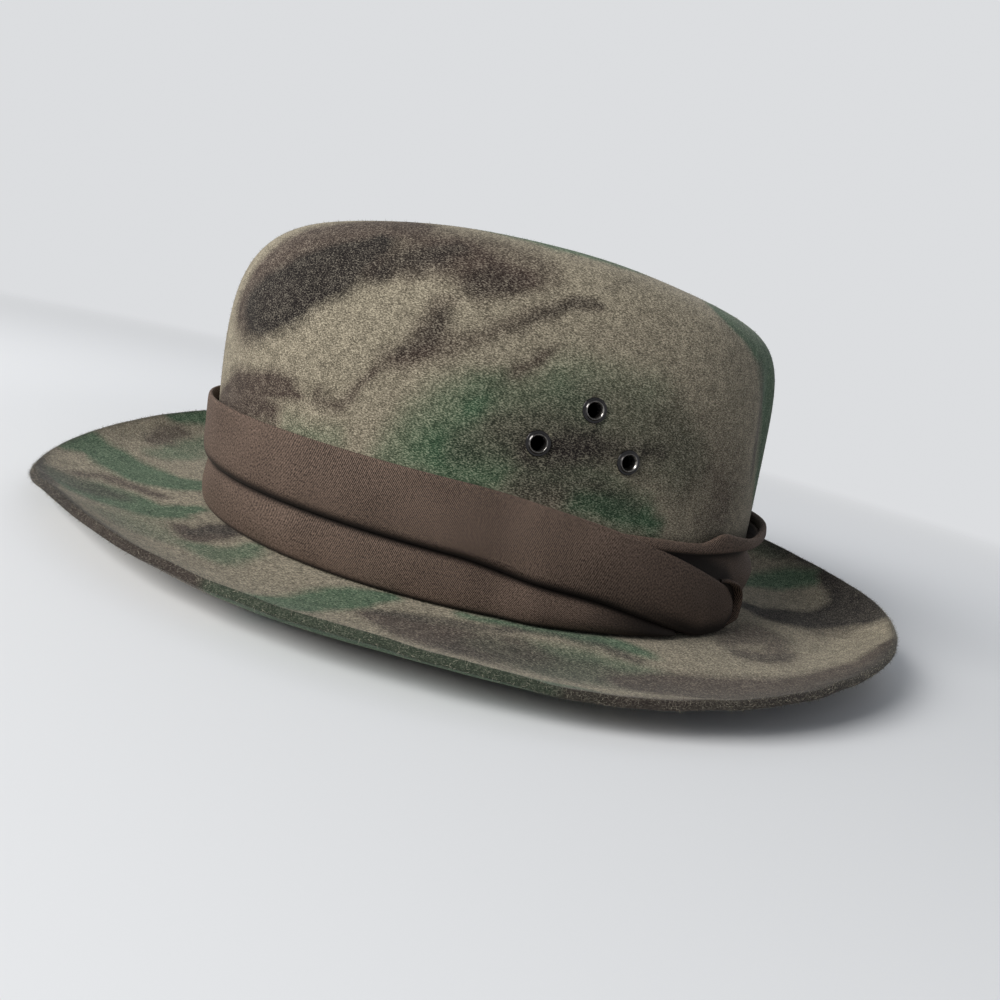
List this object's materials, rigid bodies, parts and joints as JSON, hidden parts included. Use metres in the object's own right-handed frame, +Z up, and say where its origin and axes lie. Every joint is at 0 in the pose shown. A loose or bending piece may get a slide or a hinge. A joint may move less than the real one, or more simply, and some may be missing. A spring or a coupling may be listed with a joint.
{
  "type": "wool felt hat",
  "caption": "Brimmed wool felt hat with a dented crown, an upswept brim, a pleated cloth band and vent eyelets.",
  "frame": {"origin": "middle of the hat in plan, on the surface that it rests on", "axes": "+Z up through the crown, -Y towards the front of the brim, +X towards the wearer's left side"},
  "size_m": [0.296, 0.3216, 0.1153],
  "materials": {
    "felt": "short napped wool felt, printed in soft-edged brown, green and tan",
    "band_cloth": "fine brown twill with a faint sheen",
    "eyelet_metal": "dark gunmetal plate, worn bright on the rim"
  },
  "bodies": {
    "root": {"felt_body": "felt", "band_upper_pleat": "band_cloth", "band_lower_pleat": "band_cloth", "band_rear_wrap": "band_cloth", "band_tuck_fold": "band_cloth", "eyelet_left_front": "eyelet_metal", "eyelet_left_top": "eyelet_metal", "eyelet_left_rear": "eyelet_metal", "eyelet_right_front": "eyelet_metal", "eyelet_right_top": "eyelet_metal", "eyelet_right_rear": "eyelet_metal"}
  },
  "joints": []
}
